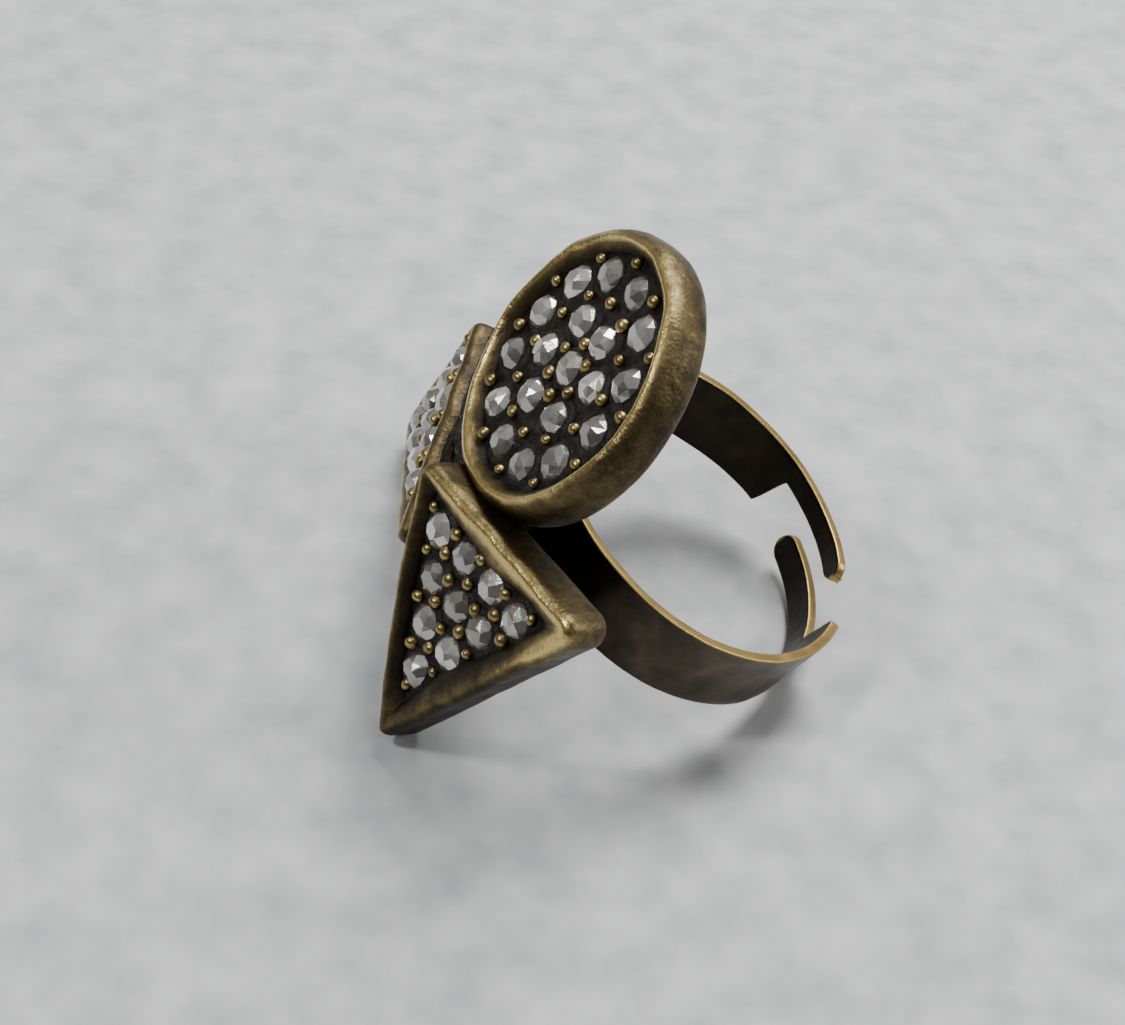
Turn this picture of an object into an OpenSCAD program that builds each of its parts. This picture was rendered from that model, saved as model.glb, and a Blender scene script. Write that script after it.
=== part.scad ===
// Adjustable cocktail ring: a split finger band that carries a cluster of three pave cups,
// one round and two triangular. Millimetres.
//
// The design frame has the finger axis along Z, the middle of the finger hole at the origin
// and the head towards +X. Angles around the band are measured from +X towards +Y.
// lying() turns the finished ring into the pose in which it rests on a table, +Z up.

/* [Finger band] */
// Radius of the finger hole
bore_r = 8.85; // [8.5:0.05:9.2]
// Thickness of the band strip
strip_t = 0.55; // [0.5:0.05:0.65]
// Width of the band strip
strip_w = 4.3; // [4:0.1:4.6]
// Angle of the near arm's bending line
near_hinge_a = 46; // [44:1:50]
// Angle of the far arm's bending line, on the other side of the head
far_hinge_a = 72; // [68:1:76]
// Angle of the step where the near arm narrows to its tongue
near_step_a = 171; // [168:1:174]
// Angle of the near tongue's tip
near_tip_a = 222; // [215:1:224]
// Angle of the step where the far arm narrows to its tongue
far_step_a = 122; // [118:1:125]
// Angle of the far tongue's tip
far_tip_a = 166; // [162:1:168]
// Share of the strip's width that the near tongue keeps
near_tongue_share = 0.42; // [0.38:0.01:0.44]
// Share of the strip's width that the far tongue keeps
far_tongue_share = 0.42; // [0.38:0.01:0.5]

/* [Round cup] */
// Radius to the middle of the rim
round_r = 6.75; // [6.5:0.05:6.9]
// Depth of the cup from its back to the rim's crest
round_depth = 2.4; // [2.2:0.1:2.5]
// How far the walls bulge past the rim
round_bulge = 0.6; // [0.4:0.05:0.7]

/* [Triangular cups] */
// Length of the front triangle's base, between rim centrelines
front_base = 14.3; // [14:0.1:14.6]
// Height of the front triangle, between rim centrelines
front_height = 10.6; // [10.4:0.1:10.8]
// How far the front triangle's top corner sits off the middle of its base
front_skew = 0.4; // [0:0.1:1]
// Length of the back triangle's base, between rim centrelines
back_base = 13.9; // [13.6:0.1:14.2]
// Height of the back triangle, between rim centrelines
back_height = 10.2; // [10:0.1:10.4]
// How far the back triangle's top corner sits off the middle of its base
back_skew = 6.5; // [6:0.1:7]
// Depth of a triangular cup from its back to the rim's crest
tri_depth = 2.5; // [2.3:0.1:2.6]

/* [Rims and floors] */
// Radius of the rolled rim
rim_r = 0.45; // [0.4:0.05:0.5]
// Thickness of a cup's floor
floor_t = 0.6; // [0.5:0.05:0.8]
// Depth of the black bed below the rim's crest
bed_drop = 0.65; // [0.6:0.05:0.75]

/* [Stones and beads] */
// Radius of a stone at its girdle
stone_r = 0.8; // [0.7:0.02:0.8]
// Height of a stone's crown above the bed
stone_h = 0.62; // [0.5:0.02:0.7]
// How deep a stone sits in the bed
stone_sink = 0.5; // [0.4:0.05:0.6]
// Radius of a brass bead
bead_r = 0.26; // [0.22:0.01:0.27]
// How much prouder the back triangle's stones stand
back_raise = 0.3; // [0.2:0.05:0.4]

/* [Hidden] */
$fn = 48;

gap = 0.08;                      // clearance across a bending line
knuckle_step = 0.02;             // how much thinner a knuckle is than the strip
corner_steps = 8;                // straight steps in a triangle's round corner
front_inset = [2, 2, 1.3];       // from each side of a triangle's rim to its outer stones
back_inset = [1.4, 1.4, 1.4];
side_bead_out = 0.6;             // how far the side beads stand outside the grid of stones
corner_bead_out = 1.08;          // and the corner beads outside its corners
outer_r = bore_r + strip_t;
mid_r = bore_r + strip_t / 2;
wall_in = 0.35;                  // from a rim's centreline to the inside of its wall
lip_h = 0.2;                     // height and inset of the narrower lip on a triangle's rim
lip_step = 0.15;
bed_gap = 0.02;                  // glue line around a bed and around what it holds
channel_w = 2;                   // width of the resin around the round cup
filler_h = 0.9;                  // its height above the round cup's back
filler_a = [-56, 44];            // and how far it reaches around the cup
saddle_t = 2.8;                  // thickness of the saddle before the cups are cut out of it
saddle_z = [-6.2, 2.1];          // how far the saddle reaches along the finger
saddle_a = [-32, 42];            // and around it
far_above = 6;                   // longer than anything that stands over a cup's back

// A cup's seat: [azimuth and elevation of its face, offset in its plane, spin, lift of the
// rim's crest above the finger axis]
round_seat = [21.8, 7.9, [-4.66, -0.2], 0, outer_r + 3.47];
front_seat = [43.3, 0, [3.27, 2.77], 168.5, outer_r + 4.73];
back_seat = [6, -9.2, [5.26, -1.75], -103.5, outer_r + 3.77];

// Turn from the design frame to the resting pose
lying_turn = [4.7, -29.3, 169.6];

brass = "#8a6f3c";
dark_brass = "#4b3d2b";
black = "#15130f";
hematite = "#83837f";

module lying() {
    rotate(lying_turn) children();
}

// Puts children, modelled with the rim's crest at z = 0, on a cup's seat
module seated(seat) {
    rotate([0, 0, seat[0]])
        rotate([0, 90 - seat[1], 0])
            translate([seat[2][0], seat[2][1], seat[4]])
                rotate([0, 0, seat[3]]) children();
}

// ---- Finger band ----

// Piece of the band's strip between two angles, over part of its width
module strip(a0, a1, z0, z1) {
    rotate([0, 0, a0]) rotate_extrude(angle = a1 - a0, $fn = 120)
        translate([bore_r, z0]) square([strip_t, z1 - z0]);
}

// Rounded knuckle on a bending line
module knuckle(a) {
    rotate([0, 0, a]) translate([mid_r, 0, -strip_w / 2])
        cylinder(d = strip_t - knuckle_step, h = strip_w);
}

// One arm of the band on the +Y side: full width from its bending line to the step, then a
// tongue between notch[0] and notch[1] missing, up to the tip
module arm(hinge_a, step_a, tip_a, notch) {
    knuckle(hinge_a);
    difference() {
        strip(hinge_a, tip_a, -strip_w / 2, strip_w / 2);
        rotate([0, 0, step_a]) rotate_extrude(angle = tip_a + 5 - step_a, $fn = 120)
            translate([bore_r - 1, notch[0]]) square([strip_t + 2, notch[1] - notch[0]]);
    }
}

// Angle that the knuckle and its clearance take up
function knuckle_angle() = asin((strip_t / 2 + gap) / mid_r);

module band_bridge() {
    color(dark_brass) strip(-far_hinge_a + knuckle_angle(), near_hinge_a - knuckle_angle(),
        -strip_w / 2, strip_w / 2);
}

module band_arm_near() {
    color(dark_brass) arm(near_hinge_a, near_step_a, near_tip_a,
        [-strip_w / 2 + near_tongue_share * strip_w, strip_w]);
}

module band_arm_far() {
    color(dark_brass) mirror([0, 1, 0]) arm(far_hinge_a, far_step_a, far_tip_a,
        [-strip_w, strip_w / 2 - far_tongue_share * strip_w]);
}

// ---- Round cup ----

// Everything over a round cup's back and up to extra beside it, as a cutting block
module round_block(extra) {
    translate([0, 0, -round_depth])
        cylinder(r = round_r + round_bulge + bed_gap + extra, h = far_above, $fn = 96);
}

module round_shell() {
    rim_out = round_r + rim_r;
    bulge_out = round_r + round_bulge;
    rotate_extrude($fn = 96) {
        translate([round_r, -rim_r]) circle(rim_r);
        polygon([
            [0, -round_depth], [rim_out - 0.3, -round_depth],
            [bulge_out - 0.1, -round_depth + 0.5], [bulge_out, -round_depth / 2],
            [rim_out, -rim_r], [round_r - wall_in, -rim_r],
            [round_r - wall_in, -round_depth + floor_t], [0, -round_depth + floor_t]
        ]);
    }
}

// Stones stand in the middle and on two rings of 6 and 12
round_rings = [[0, 1, 0], [2.45, 6, 0], [4.85, 12, 15]];
// Beads stand between the rings of stones and along the rim
round_bead_rings = [[1.4, 6, 30], [3.65, 12, 0], [5.75, 12, 0]];

function ring_points(rings) = [for (ring = rings) for (i = [0 : ring[1] - 1])
    ring[0] * [cos(ring[2] + i * 360 / ring[1]), sin(ring[2] + i * 360 / ring[1])]];

round_stone_points = ring_points(round_rings);
round_bead_points = ring_points(round_bead_rings);

// ---- Triangular cups ----

// Corners of a triangle whose top corner sits skew off the middle of its base
function triangle(base, height, skew) =
    [[-base / 2, -height / 3], [base / 2, -height / 3], [skew, 2 * height / 3]];
front = triangle(front_base, front_height, front_skew);
back = triangle(back_base, back_height, back_skew);

function unit(v) = v / norm(v);
// Corner i of a triangle moved inwards by d[k] from side k, which runs from corner k
function inset_corner(tri, i, d) =
    let (u = unit(tri[(i + 1) % 3] - tri[i]), v = unit(tri[(i + 2) % 3] - tri[i]))
    tri[i] + (d[i] * v + d[(i + 2) % 3] * u) / abs(u[0] * v[1] - u[1] * v[0]);
// The triangle with its sides moved inwards by d, or by one value for each side
function inset_triangle(tri, d) = let (sides = is_list(d) ? d : [d, d, d])
    [for (i = [0 : 2]) inset_corner(tri, i, sides)];

// The triangle with everything within r of it, rounded in steps at each corner
module rounded_triangle(tri, r) {
    polygon([for (i = [0 : 2])
        let (into = tri[i] - tri[(i + 2) % 3],
            out = tri[(i + 1) % 3] - tri[i],
            a0 = atan2(-into[0], into[1]),
            turn = (atan2(-out[0], out[1]) - a0 + 360) % 360)
        for (k = [0 : corner_steps])
            let (a = a0 + turn * k / corner_steps)
            tri[i] + r * [cos(a), sin(a)]]);
}

// Everything over a triangular cup's back, as a cutting block
module tri_block(tri) {
    translate([0, 0, -tri_depth]) linear_extrude(far_above)
        rounded_triangle(tri, rim_r + bed_gap);
}

module tri_shell(tri) {
    difference() {
        union() {
            translate([0, 0, -tri_depth]) linear_extrude(tri_depth - lip_h)
                rounded_triangle(tri, rim_r);
            translate([0, 0, -lip_h]) linear_extrude(lip_h)
                rounded_triangle(tri, rim_r - lip_step);
        }
        translate([0, 0, -tri_depth + floor_t]) linear_extrude(far_above)
            polygon(inset_triangle(tri, wall_in));
    }
}

// Ten stones on a triangular grid of four rows
function grid_point(grid, row, col) =
    grid[2] + row / 3 * (grid[0] - grid[2]) + col / 3 * (grid[1] - grid[0]);
function tri_stones(tri, inset) = let (grid = inset_triangle(tri, inset))
    [for (row = [0 : 3]) for (col = [0 : row]) grid_point(grid, row, col)];

// Beads in the cells of the grid, between the stones along its sides, and in its corners
function cell(grid, row, col, up) = let (a = grid_point(grid, row, col),
        b = grid_point(grid, row + 1, col + 1),
        c = up ? grid_point(grid, row + 1, col) : grid_point(grid, row, col + 1))
    (a + b + c) / 3;
function side_bead(grid, i, k) = let (side = grid[(i + 1) % 3] - grid[i])
    grid[i] + (k + 0.5) / 3 * side + side_bead_out * unit([side[1], -side[0]]);
function corner_bead(grid, i) = let (middle = (grid[0] + grid[1] + grid[2]) / 3)
    grid[i] + corner_bead_out * unit(grid[i] - middle);
function tri_beads(tri, inset) = let (grid = inset_triangle(tri, inset)) concat(
    [for (row = [0 : 2]) for (col = [0 : row]) cell(grid, row, col, true)],
    [for (row = [1 : 2]) for (col = [0 : row - 1]) cell(grid, row, col, false)],
    [for (i = [0 : 2]) for (k = [0 : 2]) side_bead(grid, i, k)],
    [for (i = [0 : 2]) corner_bead(grid, i)]);

// ---- Beds, stones and beads ----

module stone() {
    translate([0, 0, -stone_sink]) cylinder(r = stone_r, h = stone_sink + 0.12, $fn = 32);
    translate([0, 0, 0.12]) cylinder(r1 = stone_r, r2 = 0.5 * stone_r, h = stone_h - 0.12, $fn = 32);
}

module bead() {
    translate([0, 0, -stone_sink]) cylinder(r = 0.7 * bead_r, h = stone_sink, $fn = 24);
    intersection() {
        sphere(bead_r, $fn = 24);
        translate([0, 0, bead_r]) cube(2 * bead_r, center = true);
    }
}

// Stones or beads whose bed lies at height z
module spread(points, z) {
    for (p = points) translate([p[0], p[1], z]) children();
}

// Holes in a bed for its stones and beads
module sockets(stones, beads, z) {
    spread(stones, z - stone_sink - bed_gap) cylinder(r = stone_r + bed_gap, h = far_above, $fn = 32);
    spread(beads, z - stone_sink - bed_gap) cylinder(r = 0.7 * bead_r + bed_gap, h = far_above, $fn = 24);
}

module round_filling() {
    bottom = -round_depth + floor_t;
    difference() {
        translate([0, 0, bottom])
            cylinder(r = round_r - wall_in - bed_gap, h = -bed_drop - bottom, $fn = 96);
        sockets(round_stone_points, round_bead_points, -bed_drop);
    }
}

module tri_filling(tri, inset, raise) {
    bottom = -tri_depth + floor_t;
    difference() {
        translate([0, 0, bottom]) linear_extrude(raise - bed_drop - bottom)
            polygon(inset_triangle(tri, wall_in + bed_gap + raise));
        sockets(tri_stones(tri, inset), tri_beads(tri, inset), raise - bed_drop);
    }
}

// ---- What joins the head to the band ----

// Black resin in the channel between the three cups
module filler_block() {
    rotate([0, 0, filler_a[0]]) translate([0, 0, -round_depth])
        rotate_extrude(angle = filler_a[1] - filler_a[0], $fn = 96)
            translate([round_r + round_bulge + bed_gap, 0]) square([channel_w, filler_h]);
}

module channel_filler() {
    color(black) difference() {
        seated(round_seat) filler_block();
        seated(front_seat) tri_block(front);
        seated(back_seat) tri_block(back);
    }
}

// Solder block that fills the space between the band and the backs of the cups. It is wider
// than the band, because two of the cups hang mostly beside it.
module saddle_block() {
    color(dark_brass) difference() {
        rotate([0, 0, saddle_a[0]]) rotate_extrude(angle = saddle_a[1] - saddle_a[0], $fn = 120)
            translate([outer_r, saddle_z[0]]) square([saddle_t, saddle_z[1] - saddle_z[0]]);
        seated(round_seat) round_block(channel_w);
        seated(front_seat) tri_block(front);
        seated(back_seat) tri_block(back);
    }
}

// ---- The ring's sub-parts on their seats ----

module round_cup() {
    color(brass) seated(round_seat) round_shell();
}

module round_bed() {
    color(black) seated(round_seat) round_filling();
}

module round_stones() {
    color(hematite) seated(round_seat) spread(round_stone_points, -bed_drop) stone();
}

module round_beads() {
    color(brass) seated(round_seat) spread(round_bead_points, -bed_drop) bead();
}

// The front cup gives way to the round one where their walls meet
module front_triangle_cup() {
    color(brass) difference() {
        seated(front_seat) tri_shell(front);
        seated(round_seat) round_block(0);
    }
}

module front_triangle_bed() {
    color(black) seated(front_seat) tri_filling(front, front_inset, 0);
}

module front_triangle_stones() {
    color(hematite) seated(front_seat) spread(tri_stones(front, front_inset), -bed_drop) stone();
}

module front_triangle_beads() {
    color(brass) seated(front_seat) spread(tri_beads(front, front_inset), -bed_drop) bead();
}

// The back cup gives way to the front one where their walls meet
module back_triangle_cup() {
    color(brass) difference() {
        seated(back_seat) tri_shell(back);
        seated(front_seat) tri_block(front);
    }
}

module back_triangle_bed() {
    color(black) seated(back_seat) tri_filling(back, back_inset, back_raise);
}

module back_triangle_stones() {
    color(hematite) seated(back_seat)
        spread(tri_stones(back, back_inset), back_raise - bed_drop) stone();
}

module back_triangle_beads() {
    color(brass) seated(back_seat)
        spread(tri_beads(back, back_inset), back_raise - bed_drop) bead();
}

lying() band_bridge();
lying() band_arm_near();
lying() band_arm_far();
lying() saddle_block();
lying() channel_filler();
lying() round_cup();
lying() round_bed();
lying() round_stones();
lying() round_beads();
lying() front_triangle_cup();
lying() front_triangle_bed();
lying() front_triangle_stones();
lying() front_triangle_beads();
lying() back_triangle_cup();
lying() back_triangle_bed();
lying() back_triangle_stones();
lying() back_triangle_beads();
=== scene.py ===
"""Looks of the adjustable cocktail ring, built around its CAD frame.

Shapes are worked out in millimetres in the ring's design frame, with the finger axis along Z and
the head towards +X, and to_row() puts them where the ring lies on its table.
"""

import math

import bmesh
import bpy
import numpy as np
from mathutils import Euler, Matrix, Vector, noise


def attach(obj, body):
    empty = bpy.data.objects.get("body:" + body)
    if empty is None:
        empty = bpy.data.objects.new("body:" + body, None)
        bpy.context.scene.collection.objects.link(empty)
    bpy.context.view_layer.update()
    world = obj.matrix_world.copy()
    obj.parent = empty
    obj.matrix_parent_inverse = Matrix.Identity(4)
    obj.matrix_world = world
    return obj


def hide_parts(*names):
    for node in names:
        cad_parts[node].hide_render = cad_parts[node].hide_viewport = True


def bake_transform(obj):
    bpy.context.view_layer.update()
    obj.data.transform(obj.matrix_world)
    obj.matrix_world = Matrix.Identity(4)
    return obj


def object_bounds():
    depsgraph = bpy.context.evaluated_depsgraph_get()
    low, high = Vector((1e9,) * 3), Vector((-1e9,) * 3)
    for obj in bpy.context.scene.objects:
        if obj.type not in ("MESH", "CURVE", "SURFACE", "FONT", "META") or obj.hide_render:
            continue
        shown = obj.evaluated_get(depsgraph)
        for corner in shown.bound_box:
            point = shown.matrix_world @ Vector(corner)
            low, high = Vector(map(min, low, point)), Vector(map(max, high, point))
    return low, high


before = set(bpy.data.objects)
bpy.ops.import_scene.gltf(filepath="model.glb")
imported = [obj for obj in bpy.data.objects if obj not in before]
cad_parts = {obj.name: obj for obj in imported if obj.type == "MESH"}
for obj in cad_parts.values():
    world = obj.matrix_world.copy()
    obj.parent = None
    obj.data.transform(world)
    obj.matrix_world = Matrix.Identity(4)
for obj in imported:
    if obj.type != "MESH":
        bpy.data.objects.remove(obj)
cad_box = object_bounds()
random = np.random.default_rng(11)

# ---- Sizes, in millimetres, as in the CAD model ----

MM = 0.001
BORE_R, STRIP_T, STRIP_W = 8.85, 0.55, 4.3
OUTER_R = BORE_R + STRIP_T
MID_R = BORE_R + STRIP_T / 2
HALF_W = STRIP_W / 2
NEAR_HINGE, NEAR_STEP, NEAR_TIP, NEAR_SHARE = 46, 171, 222, 0.42
FAR_HINGE, FAR_STEP, FAR_TIP, FAR_SHARE = 72, 122, 166, 0.42
ROUND_R = 6.75
FRONT_TRIANGLE, BACK_TRIANGLE = (14.3, 10.6, 0.4), (13.9, 10.2, 6.5)  # base, height, skew
BED_DROP, BACK_RAISE = 0.65, 0.3
STONE_R, BEAD_R = 0.95, 0.36  # larger than in the CAD model, as on the real ring
STONE_SHIFT, BEAD_SHIFT = 0.12, 0.1
FRONT_INSET, BACK_INSET = (2.0, 2.0, 1.3), (1.4, 1.4, 1.4)
SIDE_BEAD_OUT, CORNER_BEAD_OUT = 0.6, 1.08

# ---- From the design frame to the row frame ----

LYING = np.array(Euler([math.radians(a) for a in (4.7, -29.3, 169.6)], "XYZ").to_matrix())


def turn(axis, degrees):
    return np.array(Matrix.Rotation(math.radians(degrees), 3, axis))


def seat(azimuth, elevation, offset, spin, lift):
    """Rotation and shift that put a cup, modelled with its rim's crest at z = 0, on the band"""
    face = turn("Z", azimuth) @ turn("Y", 90 - elevation)
    return face @ turn("Z", spin), face @ np.array([*offset, lift])


def to_row(points, place=None):
    if place:
        points = points @ place[0].T + place[1]
    return points @ LYING.T * MM


ROUND_SEAT = seat(21.8, 7.9, (-4.66, -0.2), 0, OUTER_R + 3.47)
FRONT_SEAT = seat(43.3, 0, (3.27, 2.77), 168.5, OUTER_R + 4.73)
BACK_SEAT = seat(6, -9.2, (5.26, -1.75), -103.5, OUTER_R + 3.77)

# ---- Small helpers for shapes ----


def wobble(points, size, seed):
    """Smooth noise from about -1 to 1 at each point, with bumps of about that size"""
    shift = Vector((seed * 3.1, seed * 1.7, seed * 5.3))
    return np.array([noise.noise(Vector(p) / size + shift) for p in points])


def waves(points, kind, seed):
    """Smooth noise of a kind given as (depth, size)"""
    depth, size = kind
    return depth * wobble(points, size, seed)


def around(count):
    return np.arange(count) * 2 * math.pi / count


def smooth_step(low, high, value):
    t = np.clip((value - low) / (high - low), 0, 1)
    return t * t * (3 - 2 * t)


def with_z(flat, z):
    return np.column_stack([flat, np.broadcast_to(z, len(flat))])


def loft(rings):
    """Skin over closed rings of points, closed by a fan at each end"""
    count, last = len(rings[0]), (len(rings) - 1) * len(rings[0])
    points = np.vstack([*rings, rings[0].mean(0), rings[-1].mean(0)])
    first_hub, last_hub = len(points) - 2, len(points) - 1
    faces = []
    for i in range(count):
        k = (i + 1) % count
        faces += [(j + i, j + k, j + count + k, j + count + i) for j in range(0, last, count)]
        faces += [(k, i, first_hub), (last + i, last + k, last_hub)]
    return points, faces


def joined(shapes):
    """One mesh of small ones, each given as (points and faces, 3x3 matrix, shift)"""
    points, faces, count = [], [], 0
    for (corners, sides), matrix, shift in shapes:
        points.append(corners @ matrix.T + shift)
        faces += [tuple(i + count for i in side) for side in sides]
        count += len(corners)
    return np.vstack(points), faces


def make(name, points, faces, material, slot, nodes, smooth=True, sharp=None, **marks):
    """A piece from points in the row frame; marks are per-vertex values that its material reads"""
    mesh = bpy.data.meshes.new(name)
    mesh.from_pydata(points.tolist(), [], faces)
    for label, values in marks.items():
        attribute = mesh.attributes.new(label, "FLOAT", "POINT")
        attribute.data.foreach_set("value", np.asarray(values, np.float32))
    skin = bmesh.new()
    skin.from_mesh(mesh)
    bmesh.ops.recalc_face_normals(skin, faces=skin.faces)
    skin.to_mesh(mesh)
    skin.free()
    mesh.polygons.foreach_set("use_smooth", [smooth] * len(mesh.polygons))
    if sharp:
        mesh.set_sharp_from_angle(angle=math.radians(sharp))
    mesh.materials.append(material)
    piece = bpy.data.objects.new(name, mesh)
    bpy.context.scene.collection.objects.link(piece)
    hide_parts(*nodes)
    return piece


# ---- Materials ----


def new_material(name):
    material = bpy.data.materials.new(name)
    material.use_nodes = True
    return material, material.node_tree, material.node_tree.nodes["Principled BSDF"]


def add(tree, kind, inputs=None, **settings):
    """A shader node; an input is given a value, or the output socket that feeds it"""
    made = tree.nodes.new("ShaderNode" + kind)
    for key, value in settings.items():
        setattr(made, key, value)
    for key, value in (inputs or {}).items():
        if isinstance(value, bpy.types.NodeSocket):
            tree.links.new(value, made.inputs[key])
        else:
            made.inputs[key].default_value = value
    return made


def maths(tree, operation, a, b, clamp=False):
    return add(tree, "Math", {0: a, 1: b}, operation=operation, use_clamp=clamp).outputs[0]


def ramp(tree, factor, stops):
    """Colour ramp; stops are (position, colour or grey)"""
    made = add(tree, "ValToRGB", {"Fac": factor})
    elements = made.color_ramp.elements
    while len(elements) < len(stops):
        elements.new(0.5)
    for element, (position, colour) in zip(elements, stops):
        element.position = position
        element.color = (*colour, 1) if isinstance(colour, tuple) else (colour,) * 3 + (1,)
    return made.outputs["Color"]


def grains(tree, size, detail=5, stretch=(1, 1, 1)):
    """Noise with features of about that size in millimetres, fixed to the piece"""
    where = add(tree, "TexCoord").outputs["Object"]
    where = add(tree, "Mapping", {"Vector": where, "Scale": stretch}).outputs["Vector"]
    scale = 1 / (size * MM)
    return add(tree, "TexNoise", {"Vector": where, "Scale": scale, "Detail": detail}).outputs["Fac"]


def mark(tree, name):
    return add(tree, "Attribute", attribute_name=name).outputs["Fac"]


def bump(tree, shader, height, depth, strength=1.0):
    made = add(tree, "Bump", {"Height": height, "Distance": depth * MM, "Strength": strength})
    tree.links.new(made.outputs["Normal"], shader.inputs["Normal"])


def antique_brass(name, colours, roughness, pit_depth):
    """Brass whose patina is rubbed off where the mark rub is high. Colours run from the patina in
    the hollows to bare metal on the crests, whose gold is also a painted highlight."""
    material, tree, shader = new_material(name)
    blotches, specks = grains(tree, 0.7), grains(tree, 0.16, 8)
    spread = maths(tree, "MULTIPLY", maths(tree, "SUBTRACT", blotches, 0.5), 0.45)
    grit = maths(tree, "MULTIPLY", maths(tree, "SUBTRACT", specks, 0.5), 0.28)
    # wear is the rub mark with noise: worn patina, and on the crests also a painted highlight
    wear = maths(tree, "ADD", maths(tree, "ADD", mark(tree, "rub"), spread), grit, clamp=True)
    places = (0.05, 0.32, 0.6, 0.92)
    tree.links.new(ramp(tree, wear, list(zip(places, colours))), shader.inputs["Base Color"])
    tree.links.new(ramp(tree, wear, list(zip(places, roughness))), shader.inputs["Roughness"])
    metal = ramp(tree, wear, [(0.0, 0.55), (0.35, 0.9), (0.6, 1.0)])
    tree.links.new(metal, shader.inputs["Metallic"])
    shader.inputs["Specular IOR Level"].default_value = 0.4
    height = maths(tree, "ADD", specks, maths(tree, "MULTIPLY", blotches, 2.0))
    bump(tree, shader, height, pit_depth)
    return material


PATINA, UMBER = (0.009, 0.006, 0.004), (0.046, 0.034, 0.018)
# GOLD ends the ramp: bare brass on the crests, and also their painted highlight
OLIVE, GOLD = (0.165, 0.124, 0.053), (0.66, 0.49, 0.19)
BRASS_WEAR_AND_HIGHLIGHT, DULL_BRASS = (PATINA, UMBER, OLIVE, GOLD), (PATINA, PATINA, UMBER, OLIVE)
HEAD_BRASS = antique_brass("head_brass", BRASS_WEAR_AND_HIGHLIGHT, (0.6, 0.5, 0.4, 0.26), 0.03)
BEAD_BRASS = antique_brass("bead_brass", BRASS_WEAR_AND_HIGHLIGHT, (0.55, 0.45, 0.36, 0.26), 0.015)
SOLDER = antique_brass("solder", DULL_BRASS, (0.7, 0.6, 0.5, 0.4), 0.06)


def band_material():
    """Dark brown lacquered faces with fine scratches, rubbed golden along the cut edges, the gold
    also a painted highlight; next to the head the faces are darkened as patina and painted shade
    """
    material, tree, shader = new_material("band_brass")
    blotches, specks = grains(tree, 1.1), grains(tree, 0.12, 8)
    scratches = grains(tree, 0.5, 3, stretch=(0.12, 1.0, 0.5))
    rub = maths(tree, "ADD", mark(tree, "rub"),
                maths(tree, "MULTIPLY", maths(tree, "SUBTRACT", specks, 0.5), 0.5))
    outer = ramp(tree, blotches, [(0.3, (0.06, 0.047, 0.032)), (0.55, (0.095, 0.075, 0.051)),
                                  (0.75, (0.15, 0.12, 0.078))])
    inner = ramp(tree, blotches, [(0.35, (0.014, 0.010, 0.006)), (0.75, (0.03, 0.021, 0.012))])
    # inside chooses the dark colour: the inner face, and next to the head painted shade that is
    # partly patina
    faces = add(tree, "MixRGB", {"Fac": mark(tree, "inside"), "Color1": outer, "Color2": inner})
    # Gold along the cut edges: worn lacquer, and also a painted highlight
    edge = ramp(tree, rub, [(0.35, 0.0), (0.8, 1.0)])
    mixed = add(tree, "MixRGB", {"Fac": edge, "Color1": faces.outputs[0],
                                 "Color2": (0.36, 0.25, 0.085, 1)})
    tree.links.new(mixed.outputs[0], shader.inputs["Base Color"])
    rough = maths(tree, "ADD", 0.24, maths(tree, "MULTIPLY", scratches, 0.3))
    tree.links.new(rough, shader.inputs["Roughness"])
    shader.inputs["Metallic"].default_value = 0.92
    shader.inputs["Coat Weight"].default_value = 0.1
    shader.inputs["Coat Roughness"].default_value = 0.3
    height = maths(tree, "ADD", specks, maths(tree, "MULTIPLY", scratches, 0.6))
    bump(tree, shader, height, 0.012)
    return material


def enamel_material():
    """Black filling, glossy in places, that the stones sit in"""
    material, tree, shader = new_material("black_enamel")
    blotches, specks = grains(tree, 0.5), grains(tree, 0.1, 8)
    colour = ramp(tree, blotches, [(0.35, (0.004, 0.0035, 0.003)), (0.7, (0.022, 0.016, 0.011))])
    tree.links.new(colour, shader.inputs["Base Color"])
    tree.links.new(ramp(tree, specks, [(0.3, 0.2), (0.7, 0.5)]), shader.inputs["Roughness"])
    shader.inputs["Specular IOR Level"].default_value = 0.22
    bump(tree, shader, specks, 0.05)
    return material


def resin_material():
    """Coarse black resin full of glittering grains"""
    material, tree, shader = new_material("black_resin")
    grit = grains(tree, 0.12, 6)
    where = add(tree, "TexCoord").outputs["Object"]
    cells = add(tree, "TexVoronoi", {"Vector": where, "Scale": 1 / (0.13 * MM)})
    glint = ramp(tree, cells.outputs["Color"], [(0.74, 0.0), (0.8, 1.0)])
    shader.inputs["Specular IOR Level"].default_value = 0.2
    colour = add(tree, "MixRGB", {"Fac": glint, "Color1": (0.012, 0.010, 0.009, 1),
                                  "Color2": (0.10, 0.09, 0.08, 1)})
    tree.links.new(colour.outputs[0], shader.inputs["Base Color"])
    tree.links.new(glint, shader.inputs["Metallic"])
    tree.links.new(ramp(tree, grit, [(0.3, 0.25), (0.7, 0.7)]), shader.inputs["Roughness"])
    height = maths(tree, "ADD", grit, cells.outputs["Distance"])
    bump(tree, shader, height, 0.09)
    return material


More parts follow.
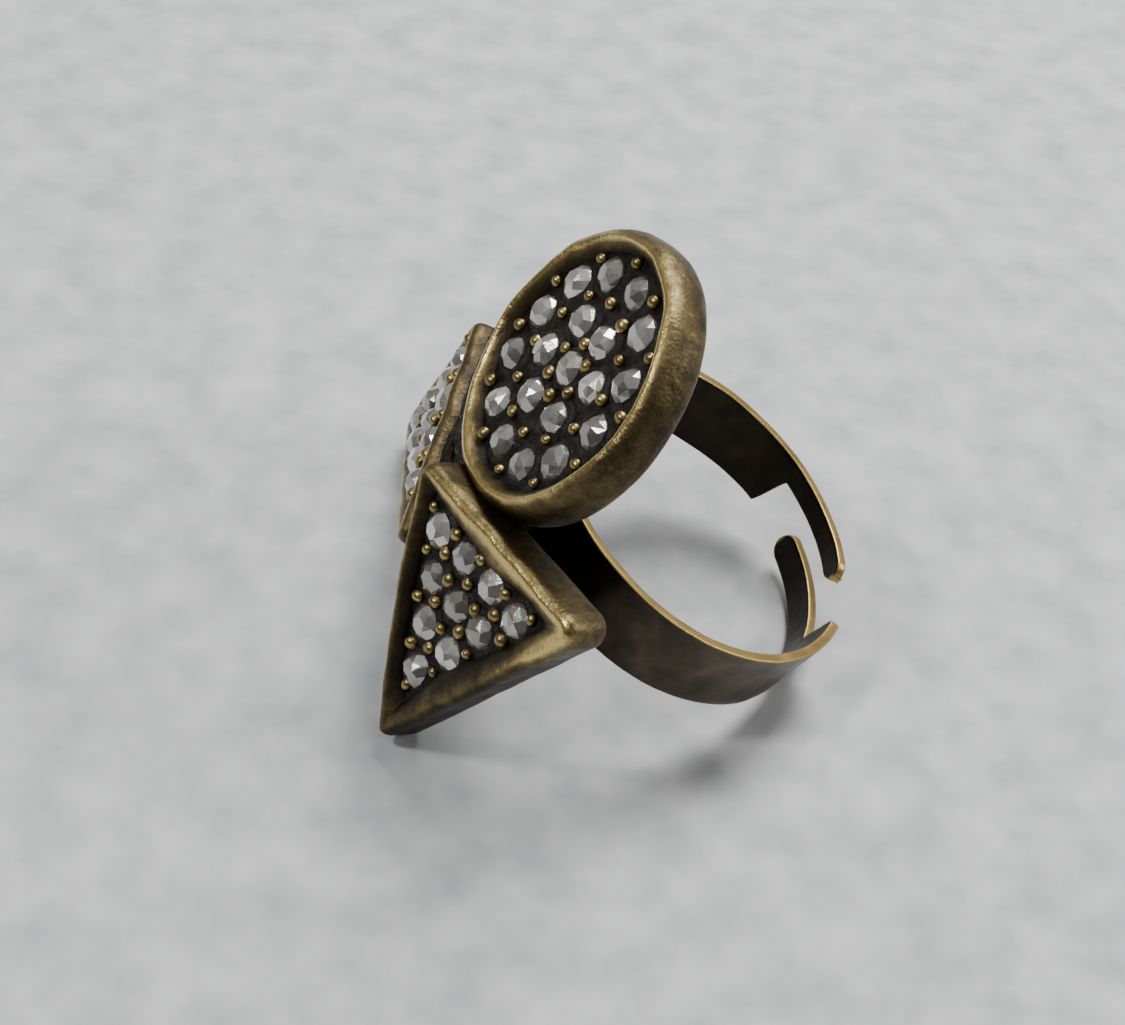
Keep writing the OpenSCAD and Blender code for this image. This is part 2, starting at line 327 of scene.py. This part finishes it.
def stone_material():
    """Opaque hematite grey, each stone a little lighter or darker, faintly clouded"""
    material, tree, shader = new_material("grey_stone")
    island = add(tree, "NewGeometry").outputs["Random Per Island"]
    clouds, specks = grains(tree, 0.45), grains(tree, 0.07, 4)
    tone = maths(tree, "ADD", maths(tree, "MULTIPLY", island, 0.7),
                 maths(tree, "MULTIPLY", clouds, 0.3))
    tree.links.new(ramp(tree, tone, [(0.2, (0.32, 0.31, 0.285)), (0.5, (0.48, 0.465, 0.43)),
                                     (0.8, (0.7, 0.68, 0.63))]), shader.inputs["Base Color"])
    tree.links.new(ramp(tree, specks, [(0.3, 0.1), (0.75, 0.26)]), shader.inputs["Roughness"])
    shader.inputs["Metallic"].default_value = 0.8
    shader.inputs["Specular IOR Level"].default_value = 0.6
    shader.inputs["Coat Weight"].default_value = 0.35
    shader.inputs["Coat Roughness"].default_value = 0.06
    bump(tree, shader, specks, 0.006)
    return material


BAND_BRASS, ENAMEL = band_material(), enamel_material()
RESIN, STONE = resin_material(), stone_material()

# ---- Outlines of the cups ----

ROUND_COUNT = 240
ROUND_WAY = np.column_stack([np.cos(around(ROUND_COUNT)), np.sin(around(ROUND_COUNT))])
CORNER_STEPS, SIDE_STEPS = 9, 60
SHARPEST_CORNER = 0.12


def round_outline(offset):
    """The round cup's outline at that offset outside its rim's centreline"""
    return (ROUND_R + offset)[:, None] * ROUND_WAY


def corners_of(base, height, skew):
    return np.array([[-base / 2, -height / 3], [base / 2, -height / 3], [skew, 2 * height / 3]])


def inward_steps(corners, inset=(1, 1, 1)):
    """For each corner, the step that moves it inwards by that much from each side; side k runs
    from corner k"""
    steps = []
    for i in range(3):
        u, v = corners[(i + 1) % 3] - corners[i], corners[(i + 2) % 3] - corners[i]
        u, v = u / np.hypot(*u), v / np.hypot(*v)
        steps.append((inset[i] * v + inset[i - 1] * u) / abs(u[0] * v[1] - u[1] * v[0]))
    return np.array(steps)


def triangle_outline(corners, rounding, bow=(0, 0, 0)):
    """Outline of a triangular cup as a function of the offset outside its rim's centreline, each
    corner with its own radius and each side bowed out by so much. Also the count of its points."""
    inwards, rounding = inward_steps(corners), np.array(rounding)
    rows = []
    for i in range(3):
        into, out = corners[i] - corners[i - 1], corners[(i + 1) % 3] - corners[i]
        a0, a1 = math.atan2(-into[0], into[1]), math.atan2(-out[0], out[1])
        a1 += 2 * math.pi if a1 < a0 else 0
        for a in np.linspace(a0, a1, CORNER_STEPS):
            rows.append((math.cos(a), math.sin(a), i, i, 0, 0))
        for t in np.linspace(0, 1, SIDE_STEPS + 2)[1:-1]:
            swell = bow[i] * 4 * t * (1 - t)
            rows.append((math.cos(a1), math.sin(a1), i, (i + 1) % 3, t, swell))
    rows = np.array(rows)
    way, (start, end) = rows[:, :2], rows[:, 2:4].T.astype(int)
    share, swell = rows[:, 4:5], rows[:, 5:6] * way

    def outline(offset):
        def on_corner(which):
            """Each point's place on the arc of its corner, which says whose"""
            radius = np.maximum(SHARPEST_CORNER, rounding[which] + offset)[:, None]
            middle = corners[which] + (radius - offset[:, None]) * inwards[which]
            return middle + radius * way

        return on_corner(start) * (1 - share) + on_corner(end) * share + swell

    return outline, len(way)


# ---- Cups, beds, stones and beads ----

# A smooth curve through these points goes from a cup's underside up the wall, over the rim and
# down to its floor: (offset outside the rim's centreline, height above its crest, how far the
# patina is rubbed off). The last value also paints light: a highlight along the crest, and a
# wall lighter towards the crest and darker towards its foot.
ROUND_PROFILE = [(-1.5, -2.4, 0.2), (0.1, -2.4, 0.22), (0.38, -2.3, 0.36), (0.52, -2.08, 0.4),
                 (0.6, -1.75, 0.36), (0.62, -1.4, 0.38), (0.6, -1.05, 0.41), (0.53, -0.7, 0.44),
                 (0.42, -0.4, 0.48), (0.28, -0.18, 0.55), (0.12, -0.05, 0.78), (-0.03, 0.0, 1.0),
                 (-0.17, -0.05, 0.86), (-0.34, -0.2, 0.5), (-0.5, -0.38, 0.32),
                 (-0.64, -0.54, 0.16), (-0.74, -0.68, 0.03), (-0.76, -1.0, 0.0),
                 (-0.78, -1.7, 0.0)]
TRI_PROFILE = [(-1.5, -2.5, 0.2), (0.1, -2.5, 0.25), (0.3, -2.44, 0.4), (0.42, -2.25, 0.42),
               (0.45, -1.9, 0.34), (0.45, -1.4, 0.34), (0.46, -0.9, 0.38), (0.44, -0.5, 0.44),
               (0.37, -0.26, 0.54), (0.24, -0.1, 0.74), (0.08, -0.01, 1.0), (-0.1, -0.02, 0.88),
               (-0.28, -0.12, 0.6), (-0.46, -0.27, 0.46), (-0.6, -0.42, 0.3), (-0.7, -0.58, 0.12),
               (-0.74, -0.75, 0.02), (-0.76, -1.1, 0.0), (-0.78, -1.8, 0.0)]
UNDERSIDE = -2  # what lies below this height keeps its place when the inner slope is widened
# Unevenness of the castings, as (depth, size along the rim)
CREST_WAVE, WALL_SWAY, WALL_RIPPLE, RUB_PATCH = (0.1, 2.2), (0.12, 1.8), (0.04, 0.7), (0.1, 1.3)
BED_RINGS, BED_GRAIN = 60, (0.05, 0.45)


def rounded(profile, times=3):
    """The profile with more points, on a smooth curve through the given ones"""
    p = np.array([profile[0], *profile, profile[-1]])
    before, start, end, after = (p[k:len(p) - 3 + k, None] for k in range(4))
    t = (np.arange(times) / times)[None, :, None]
    slope = (end - before) / 2
    bend = before - 2.5 * start + 2 * end - after / 2
    twist = 1.5 * (start - end) + (after - before) / 2
    curve = start + t * (slope + t * (bend + t * twist))
    return np.vstack([curve.reshape(-1, 3), p[-1]])


def cup(name, place, outline, count, profile, width, polish_and_highlight, seed):
    """A cast cup: its wall and rolled rim, a little uneven all round. width gives how wide the
    rim's inner slope is at each point of the outline, and polish how much of its patina is gone
    and how bright the highlight painted on its crest is."""
    rings, rubs = [], []
    for offset, z, rub in rounded(profile):
        widened = offset < 0 and z > UNDERSIDE
        out = outline(np.full(count, offset) * (width if widened else 1))
        ring = with_z(out, z)
        crest = smooth_step(-1.9, -0.1, z)
        ring[:, 2] += crest * waves(ring, CREST_WAVE, seed)
        sway = waves(ring, WALL_SWAY, seed + 1) + waves(ring, WALL_RIPPLE, seed + 2)
        ring[:, :2] += sway[:, None] * out / np.hypot(*out.T)[:, None] * (0.4 + 0.6 * crest)
        rings.append(ring)
        # rub is worn patina and also painted light: a highlight on the crest, a wall darker towards
        # its foot
        rubs.append(polish_and_highlight * rub + waves(ring, RUB_PATCH, seed + 3) * (rub > 0.1))
    points, faces = loft(rings)
    rubs = np.concatenate([*rubs, [profile[0][2], profile[-1][2]]])
    return make(name, to_row(points, place), faces, HEAD_BRASS, "head_brass", [name], rub=rubs)


def bed(name, place, outline, count, height, stones, beads, seed):
    """The black filling of a cup, drawn up a little round each stone and bead"""
    edge = outline(np.full(count, -0.42))
    hub = edge.mean(0)
    rings = [with_z(hub + 0.3 * (edge - hub), -1.7), with_z(edge, -1.7)]
    for share in np.linspace(1, 0.02, BED_RINGS):
        flat = hub + share * (edge - hub)
        to_stone = np.linalg.norm(flat[:, None] - stones[None], axis=2).min(1)
        to_bead = np.linalg.norm(flat[:, None] - beads[None], axis=2).min(1)
        collar = 0.17 * np.exp(-((to_stone - STONE_R) / 0.2) ** 2)
        mound = 0.1 * np.exp(-(to_bead / 0.4) ** 2)
        ring = with_z(flat, height + collar + mound)
        ring[:, 2] += waves(ring, BED_GRAIN, seed)
        rings.append(ring)
    points, faces = loft(rings)
    return make(name, to_row(points, place), faces, ENAMEL, "black_enamel", [name])


def shape_of(skin):
    """Points and faces of a bmesh, which is freed"""
    skin.verts.index_update()
    points = np.array([v.co for v in skin.verts])
    faces = [tuple(v.index for v in f.verts) for f in skin.faces]
    skin.free()
    return points, faces


def hull_shape(points):
    skin = bmesh.new()
    for p in points:
        skin.verts.new(p)
    bmesh.ops.convex_hull(skin, input=skin.verts)
    return shape_of(skin)


def ring_of(count, radius, z, first):
    return [(radius * math.cos(a), radius * math.sin(a), z) for a in around(count) + first]


# Rows of a stone's facet corners, from its foot to its table: (count, radius, height)
STONE_ROWS = ((11, 0.93, -0.35), (11, 1.0, 0.08), (7, 0.8, 0.34), (6, 0.45, 0.56))


def stone_shape():
    """A hand-cut stone of radius 1: each row of facet corners is a little irregular"""
    corners = []
    for count, radius, z in STONE_ROWS:
        first = random.uniform(0, math.pi)
        for x, y, height in ring_of(count, radius, z, first):
            push = random.uniform(0.93, 1.05)
            corners.append((x * push, y * push, height + random.uniform(-0.03, 0.03) * (z > 0.1)))
    return hull_shape(corners)


def bead_shape():
    skin = bmesh.new()
    bmesh.ops.create_icosphere(skin, subdivisions=3, radius=1.0)
    return shape_of(skin)


def tilted(spin, tilt, towards):
    """Turned by spin about Z, then tipped by tilt towards a direction, all in degrees"""
    return turn("Z", towards) @ turn("Y", tilt) @ turn("Z", spin - towards)


def stone_set(name, place, points, height):
    shapes = []
    for p in points:
        size = STONE_R * random.uniform(0.93, 1.04)
        way = tilted(random.uniform(0, 360), random.uniform(2, 12), random.uniform(0, 360))
        shapes.append((stone_shape(), way @ np.diag([size, size * random.uniform(0.92, 1.0), 1.05]),
                       np.array([*p, height + random.uniform(-0.02, 0.06)])))
    points, faces = joined(shapes)
    return make(name, to_row(points, place), faces, STONE, "grey_stone", [name], smooth=False)


def bead_set(name, place, points, height, seed):
    ball, shapes = bead_shape(), []
    for p in points:
        size = BEAD_R * random.uniform(0.82, 1.12)
        flat, tall = random.uniform(0.85, 1.0), random.uniform(0.9, 1.1)
        stretch = np.diag([size, size * flat, size * tall])
        shift = random.uniform(-BEAD_SHIFT, BEAD_SHIFT, 2)
        shapes.append((ball, turn("Z", random.uniform(0, 360)) @ stretch,
                       np.array([p[0] + shift[0], p[1] + shift[1], height + 0.12])))
    points, faces = joined(shapes)
    points = points + 0.03 * np.column_stack([wobble(points, 0.4, seed + k) for k in range(3)])
    # Painted shade and highlight over the brass's own patina: each bead darker at its foot, lighter
    # on top
    rub = 0.1 + 0.62 * smooth_step(height - 0.1, height + 0.3, points[:, 2])
    return make(name, to_row(points, place), faces, BEAD_BRASS, "bead_brass", [name], rub=rub)


def ring_points(rings):
    """Points on rings given as (radius, count, first angle)"""
    return np.array([(r * math.cos(a), r * math.sin(a)) for r, count, first in rings
                     for a in around(count) + math.radians(first)])


def triangle_points(corners, inset):
    """Stones on a triangular grid of four rows, and beads in its cells, along it and outside it"""
    grid = corners + inward_steps(corners, inset)

    def at(row, col):
        return grid[2] + row / 3 * (grid[0] - grid[2]) + col / 3 * (grid[1] - grid[0])

    stones = [at(row, col) for row in range(4) for col in range(row + 1)]
    beads = [(at(r, c) + at(r + 1, c + 1) + at(r + 1, c)) / 3
             for r in range(3) for c in range(r + 1)]
    beads += [(at(r, c) + at(r + 1, c + 1) + at(r, c + 1)) / 3
              for r in (1, 2) for c in range(r)]
    for i in range(3):
        side = grid[(i + 1) % 3] - grid[i]
        out = np.array([side[1], -side[0]]) / np.hypot(*side)
        beads += [grid[i] + (k + 0.5) / 3 * side + SIDE_BEAD_OUT * out for k in range(3)]
    for corner in grid:
        away = corner - grid.mean(0)
        beads.append(corner + CORNER_BEAD_OUT * away / np.hypot(*away))
    return np.array(stones), np.array(beads)


def pave_cup(name, place, outline, count, profile, width, polish_and_highlight, raised, stones, beads, seed):
    """A cup with its bed, stones and beads. raised lifts what is in the cup."""
    top = raised - BED_DROP
    stones = stones + random.uniform(-STONE_SHIFT, STONE_SHIFT, stones.shape)
    return [cup(name + "_cup", place, outline, count, profile, width, polish_and_highlight, seed),
            bed(name + "_bed", place, outline, count, top, stones, beads, seed + 4),
            stone_set(name + "_stones", place, stones, top),
            bead_set(name + "_beads", place, beads, top, seed + 5)]


def all_round(count, values):
    """A value for each point of an outline, from those given at some shares of the way round"""
    where, what = zip(*values)
    return np.interp(np.arange(count) / count, where, what)


round_width = 1 + 0.22 * wobble(with_z(ROUND_WAY * 1.3, 0), 1, 5)
pieces = pave_cup("round", ROUND_SEAT, round_outline, ROUND_COUNT, ROUND_PROFILE, round_width, 1.0, 0,
                  ring_points([(0, 1, 0), (2.45, 6, 0), (4.85, 12, 15)]),
                  ring_points([(1.4, 6, 30), (3.65, 12, 0), (5.75, 12, 0)]), 1)

# The shares run along the base from corner 0, up the next side and back down the last one
front = corners_of(*FRONT_TRIANGLE)
front_outline, front_count = triangle_outline(front, (0.0, 0.5, 0.3), (0, 0, 0.35))
front_width = all_round(front_count, [(0, 1.0), (0.05, 1.3), (0.12, 2.1), (0.2, 1.5), (0.3, 1.4),
                                      (0.36, 1.5), (0.42, 1.1), (0.48, 1.8), (0.54, 2.0),
                                      (0.6, 1.5), (0.66, 1.1), (0.72, 0.7), (0.95, 0.7), (1, 1.0)])
# front_polish_and_highlight scales each side's rub, so also how bright its painted crest highlight is
front_polish_and_highlight = all_round(front_count, [(0, 0.5), (0.2, 0.5), (0.27, 0.75), (0.31, 1.25),
                                       (0.4, 1.15), (0.62, 1.0), (0.7, 0.7), (0.95, 0.55),
                                       (1, 0.5)])
pieces += pave_cup("front_triangle", FRONT_SEAT, front_outline, front_count, TRI_PROFILE,
                   front_width, front_polish_and_highlight, 0, *triangle_points(front, FRONT_INSET), 21)

back = corners_of(*BACK_TRIANGLE)
back_outline, back_count = triangle_outline(back, (0.2, 0.5, 0.3))
back_width = all_round(back_count, [(0, 0.9), (0.3, 1.1), (0.6, 0.9), (1, 0.9)])
pieces += pave_cup("back_triangle", BACK_SEAT, back_outline, back_count, TRI_PROFILE,
                   back_width, 0.75, BACK_RAISE, *triangle_points(back, BACK_INSET), 41)

# ---- Solder and resin behind the cups ----


def rough_copy(node, voxel, wear, lump_kinds, material, slot):
    """A CAD node's shape with its corners worn off, wear times over, and a lumpy surface. Lumps are
    rubbed and the hollows between them dark."""
    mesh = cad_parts[node].data.copy()
    mesh.materials.clear()
    raw = bpy.data.objects.new(node + "_raw", mesh)
    bpy.context.scene.collection.objects.link(raw)
    remesh = raw.modifiers.new("skin", "REMESH")
    remesh.mode, remesh.voxel_size = "VOXEL", voxel * MM
    worn = raw.modifiers.new("worn", "SMOOTH")
    worn.factor, worn.iterations = 0.5, wear
    done = raw.evaluated_get(bpy.context.evaluated_depsgraph_get()).to_mesh()
    points = np.array([v.co for v in done.vertices])
    normals = np.array([v.normal for v in done.vertices])
    faces = [tuple(f.vertices) for f in done.polygons]
    bpy.data.objects.remove(raw)
    lumps = sum(waves(points / MM, kind, 3 + k) for k, kind in enumerate(lump_kinds))
    points = points + normals * (lumps * MM)[:, None]
    rub = 0.35 + 3.0 * lumps
    return make(node, points, faces, material, slot, [node], rub=rub)


RESIN_LUMPS, SOLDER_LUMPS = [(0.09, 0.5), (0.05, 0.18)], [(0.1, 1.2), (0.05, 0.4)]
pieces += [rough_copy("channel_filler", 0.11, 4, RESIN_LUMPS, RESIN, "black_resin"),
           rough_copy("saddle_block", 0.16, 14, SOLDER_LUMPS, SOLDER, "solder")]
for piece in pieces:
    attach(piece, "head")

# ---- Finger band ----

EDGE_R, TIP_R = 0.12, 0.8
FACE_STEPS, EDGE_STEPS = 10, 4
STEP_EASE, TIP_SPAN = 2.2, 6  # degrees over which the step and the round tip are drawn
PATINA_AND_SHADE_FADES, PATINA_AND_SHADE_ENDS = 20, 80  # degrees past the hinge, for the darkening next to the head: partly patina, partly painted shade where the band runs under it
EDGE_WEAR_AND_HIGHLIGHT, TIP_WEAR = 0.08, 0.2  # how far from the cut edges and the tip the lacquer is rubbed off; along the edges the gold is also a painted highlight
DENT, SMALL_DENT, EDGE_DRIFT = (0.022, 1.4), (0.008, 0.4), (0.03, 2.5)  # (depth, size)


def strip_section(low, high):
    """The strip's cut between two heights, up its outer face and down its inner one, as (radius,
    height). Its four edges are rounded."""
    corners = [(OUTER_R - EDGE_R, low + EDGE_R, -90), (OUTER_R - EDGE_R, high - EDGE_R, 0),
               (BORE_R + EDGE_R, high - EDGE_R, 90), (BORE_R + EDGE_R, low + EDGE_R, 180)]
    section = []
    for k, (r, z, first) in enumerate(corners):
        for a in np.radians(np.linspace(first, first + 90, EDGE_STEPS + 1)):
            section.append((r + EDGE_R * math.cos(a), z + EDGE_R * math.sin(a)))
        if k % 2 == 0:
            (r0, z0), (r1, z1, first) = section[-1], corners[k + 1]
            a = math.radians(first)
            goal_r, goal_z = r1 + EDGE_R * math.cos(a), z1 + EDGE_R * math.sin(a)
            for t in np.linspace(0, 1, FACE_STEPS + 2)[1:-1]:
                section.append((r0 + t * (goal_r - r0), z0 + t * (goal_z - z0)))
    return np.array(section)


def band_strip(name, nodes, sense, hinge, step, tip, tongue, taper, seed):
    """Half of the band, from under the head to its tongue's tip. sense is the way it runs, and
    taper is how much its lower edge rises before the step."""
    round_tip = tip - TIP_SPAN * (1 - np.sin(np.linspace(0, math.pi / 2, 22)))
    angles = np.unique(np.concatenate([np.linspace(0, step - 3, int(step * 1.1)),
                                       np.linspace(step - 3, step + 3, 41),
                                       np.linspace(step + 3, tip - TIP_SPAN, int(tip - step)),
                                       round_tip]))
    narrow = smooth_step(step - STEP_EASE, step + STEP_EASE, angles)
    low = -HALF_W + narrow * (tongue[0] + HALF_W)
    high = HALF_W + narrow * (tongue[1] - HALF_W)
    low += taper * smooth_step(hinge + 10, step, angles)
    to_tip = np.radians(tip - angles) * MID_R
    pulled = TIP_R - np.sqrt(np.maximum(TIP_R ** 2 - np.maximum(TIP_R - to_tip, 0) ** 2, 0))
    rings, rubs, insides = [], [], []
    for angle, z0, z1, left in zip(angles, low + pulled, high - pulled, to_tip):
        section = strip_section(z0, z1)
        t = math.radians(angle)
        ring = np.column_stack([section[:, 0] * math.cos(t), sense * section[:, 0] * math.sin(t),
                                section[:, 1]])
        dent = waves(ring, DENT, seed) + waves(ring, SMALL_DENT, seed + 1)
        ring[:, 0] += dent * math.cos(t)
        ring[:, 1] += dent * sense * math.sin(t)
        ring[:, 2] += waves(ring, EDGE_DRIFT, seed + 2)
        rings.append(ring)
        from_edge = np.maximum(np.minimum(section[:, 1] - z0, z1 - section[:, 1]), 0)
        on_cut = np.abs(section[:, 0] - MID_R) < STRIP_T / 2 - 0.01
        # Edge gold: worn lacquer, and also a painted highlight along the cut edges
        rub = np.maximum(np.exp(-(from_edge / EDGE_WEAR_AND_HIGHLIGHT) ** 2), on_cut * 0.75)
        rubs.append(np.maximum(rub, math.exp(-(left / TIP_WEAR) ** 2)))
        # Painted shade, partly patina: the faces darken next to the head, where the band runs under
        # it
        patina_and_shade = 1 - smooth_step(hinge + PATINA_AND_SHADE_FADES, hinge + PATINA_AND_SHADE_ENDS, angle)
        insides.append(np.maximum(1 - smooth_step(BORE_R, OUTER_R, section[:, 0]), patina_and_shade))
    points, faces = loft(rings)
    rubs = np.concatenate([*rubs, [0.3, 0.9]])  # the last two points close the strip's ends
    insides = np.concatenate([*insides, [0.5, 0.5]])
    strip = make(name, to_row(points), faces, BAND_BRASS, "band_brass", nodes, sharp=50,
                 rub=rubs, inside=insides)
    t = math.radians(hinge)
    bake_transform(strip)


band_strip("band_near_strip", ["band_arm_near", "band_bridge"], 1, NEAR_HINGE, NEAR_STEP, NEAR_TIP,
           (-HALF_W, -HALF_W + NEAR_SHARE * STRIP_W), 0.0, 61)
band_strip("band_far_strip", ["band_arm_far"], -1, FAR_HINGE, FAR_STEP, FAR_TIP,
           (HALF_W - FAR_SHARE * STRIP_W, HALF_W), 0.5, 71)

# ---- Floor, light and camera ----

FLOOR_WIDTH = 1.6  # metres
bpy.ops.mesh.primitive_plane_add(size=FLOOR_WIDTH, location=(0, 0, cad_box[0][2]))
floor = bpy.context.object
floor.name = "floor"
pale, tree, shader = new_material("floor")
PALE_GREYS = [(0.3, (0.36, 0.365, 0.375)), (0.7, (0.54, 0.545, 0.555))]
mottle = ramp(tree, grains(tree, 3.0, 8), PALE_GREYS)
tree.links.new(mottle, shader.inputs["Base Color"])
shader.inputs["Roughness"].default_value = 0.9
floor.data.materials.append(pale)

world = bpy.data.worlds.new("studio")
bpy.context.scene.world = world
world.use_nodes = True
tree = world.node_tree
way = add(tree, "TexCoord").outputs["Generated"]
up = add(tree, "SeparateXYZ", {"Vector": way})
lift = maths(tree, "ADD", maths(tree, "MULTIPLY", up.outputs["Z"], 0.55),
             maths(tree, "MULTIPLY", up.outputs["Y"], 0.3))
sky = ramp(tree, lift, [(0.0, 0.10), (0.35, 0.30), (0.75, 0.8)])
tree.links.new(sky, tree.nodes["Background"].inputs["Color"])
tree.nodes["Background"].inputs["Strength"].default_value = 0.75


def area_light(name, where, size, power):
    """Square soft white light, where and size in millimetres, aimed at the ring"""
    light = bpy.data.lights.new(name, "AREA")
    light.size, light.energy = size * MM, power
    lamp = bpy.data.objects.new(name, light)
    lamp.location = Vector(where) * MM
    lamp.rotation_euler = (-Vector(where)).to_track_quat("-Z", "Y").to_euler()
    bpy.context.scene.collection.objects.link(lamp)


area_light("key", (60, 170, 250), 150, 1.5)
area_light("side", (230, 20, 120), 80, 0.3)
area_light("glint", (-150, -60, 230), 35, 0.35)

CAMERA_ELEVATION, CAMERA_ROLL = math.radians(44.34), math.radians(8.31)
CAMERA_PLACE = Vector((-6.04, -73.30, 71.15)) * MM
level = Vector((1, 0, 0))
upright = Vector((0, math.sin(CAMERA_ELEVATION), math.cos(CAMERA_ELEVATION)))
right = level * math.cos(CAMERA_ROLL) + upright * math.sin(CAMERA_ROLL)
above = upright * math.cos(CAMERA_ROLL) - level * math.sin(CAMERA_ROLL)
lens = bpy.data.cameras.new("camera")
lens.lens, lens.sensor_width, lens.clip_start = 64, 36, 0.001
camera = bpy.data.objects.new("camera", lens)
turned = Matrix((right, above, right.cross(above))).transposed().to_4x4()
camera.matrix_world = Matrix.Translation(CAMERA_PLACE) @ turned
bpy.context.scene.collection.objects.link(camera)
bpy.context.scene.camera = camera

bpy.context.view_layer.update()
